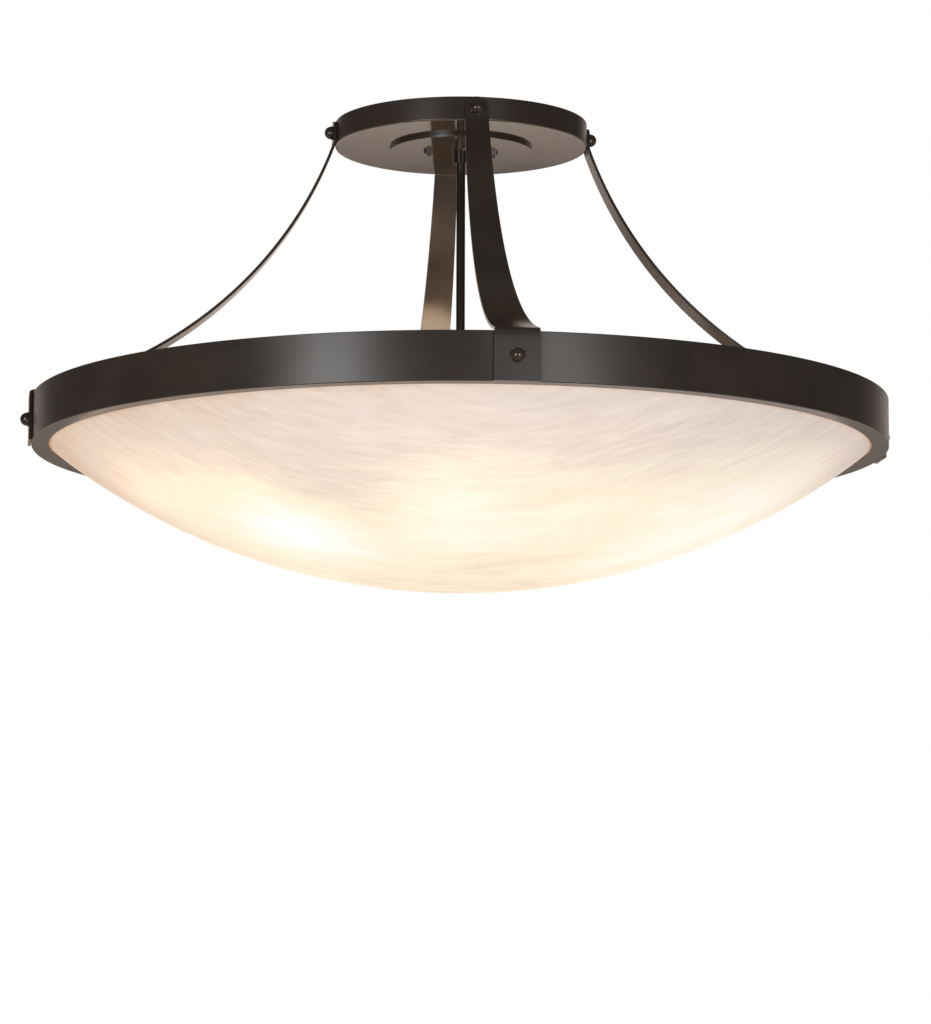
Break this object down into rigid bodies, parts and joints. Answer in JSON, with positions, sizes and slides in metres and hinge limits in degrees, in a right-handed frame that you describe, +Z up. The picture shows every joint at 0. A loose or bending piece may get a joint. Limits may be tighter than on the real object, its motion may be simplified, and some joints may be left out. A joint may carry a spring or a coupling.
{
  "type": "semi flush ceiling light",
  "caption": "Shallow translucent bowl resting in a banded ring, hung on tapering flat straps from a round canopy, with a lamp cluster on a central stem.",
  "frame": {"origin": "ceiling plane on the stem's axis, at the mounting plate's top face", "axes": "+Z up into the ceiling, straps along +X, +Y, -X and -Y"},
  "size_m": [0.9384, 0.9384, 0.5047],
  "materials": {
    "dark_bronze": "smooth satin dark bronze paint",
    "zinc_steel": "zinc plated",
    "ground_green": "green dyed zinc",
    "porcelain": "glazed white",
    "brass": "bright pressed brass",
    "frosted_glass": "frosted inside",
    "cap_aluminium": "pressed",
    "bowl_stone": "polished translucent cream stone look, lit from inside",
    "lead_black": "wire insulation",
    "lead_white": "wire insulation",
    "lead_green": "wire insulation",
    "connector_orange": "moulded twist-on connector"
  },
  "bodies": {
    "fixture": {"arm_1": "dark_bronze", "arm_2": "dark_bronze", "arm_3": "dark_bronze", "arm_4": "dark_bronze", "arm_5": "dark_bronze", "arm_6": "dark_bronze", "canopy": "dark_bronze", "canopy_ball_nuts": "dark_bronze", "canopy_lock_washers": "zinc_steel", "canopy_screws": "zinc_steel", "cover_disc": "dark_bronze", "ground_lead": "lead_green", "ground_screw": "ground_green", "hub": "dark_bronze", "hub_cover": "dark_bronze", "hub_cover_screws": "dark_bronze", "hub_locknut": "zinc_steel", "lampholder_1": "porcelain", "lampholder_2": "porcelain", "lampholder_3": "porcelain", "lampholder_4": "porcelain", "lampholder_5": "porcelain", "lampholder_6": "porcelain", "lampholder_contacts": "brass", "lampholder_shells": "brass", "lead_hot": "lead_black", "lead_neutral": "lead_white", "mounting_plate": "zinc_steel", "plate_studs": "zinc_steel", "ring_ball_nuts": "dark_bronze", "ring_frame": "dark_bronze", "ring_lock_washers": "zinc_steel", "ring_screws": "zinc_steel", "socket_leads": "lead_black", "stem": "dark_bronze", "stem_coupling": "dark_bronze", "stem_locknut": "zinc_steel", "stem_nipple": "zinc_steel", "stem_washer": "dark_bronze", "strap_back": "dark_bronze", "strap_front": "dark_bronze", "strap_left": "dark_bronze", "strap_right": "dark_bronze", "stud_nuts": "dark_bronze", "wire_connectors": "connector_orange"},
    "lamp_1": {"lamp_cap_1": "cap_aluminium", "lamp_glass_1": "frosted_glass"},
    "lamp_2": {"lamp_cap_2": "cap_aluminium", "lamp_glass_2": "frosted_glass"},
    "lamp_3": {"lamp_cap_3": "cap_aluminium", "lamp_glass_3": "frosted_glass"},
    "lamp_4": {"lamp_cap_4": "cap_aluminium", "lamp_glass_4": "frosted_glass"},
    "lamp_5": {"lamp_cap_5": "cap_aluminium", "lamp_glass_5": "frosted_glass"},
    "lamp_6": {"lamp_cap_6": "cap_aluminium", "lamp_glass_6": "frosted_glass"},
    "diffuser": {"bowl": "bowl_stone"}
  },
  "joints": [
    {"name": "bowl_lift", "type": "slide", "parent": "fixture", "child": "diffuser", "axis": [0, 0, 1], "range_m": [0, 0.03]},
    {"name": "lamp_1_out", "type": "slide", "parent": "fixture", "child": "lamp_1", "axis": [-0.1219, -0.9925, 0], "range_m": [0, 0.028]},
    {"name": "lamp_2_out", "type": "slide", "parent": "fixture", "child": "lamp_2", "axis": [0.7986, -0.6018, 0], "range_m": [0, 0.028]},
    {"name": "lamp_3_out", "type": "slide", "parent": "fixture", "child": "lamp_3", "axis": [0.9205, 0.3907, 0], "range_m": [0, 0.028]},
    {"name": "lamp_4_out", "type": "slide", "parent": "fixture", "child": "lamp_4", "axis": [0.1219, 0.9925, 0], "range_m": [0, 0.028]},
    {"name": "lamp_5_out", "type": "slide", "parent": "fixture", "child": "lamp_5", "axis": [-0.7986, 0.6018, 0], "range_m": [0, 0.028]},
    {"name": "lamp_6_out", "type": "slide", "parent": "fixture", "child": "lamp_6", "axis": [-0.9205, -0.3907, 0], "range_m": [0, 0.028]}
  ]
}
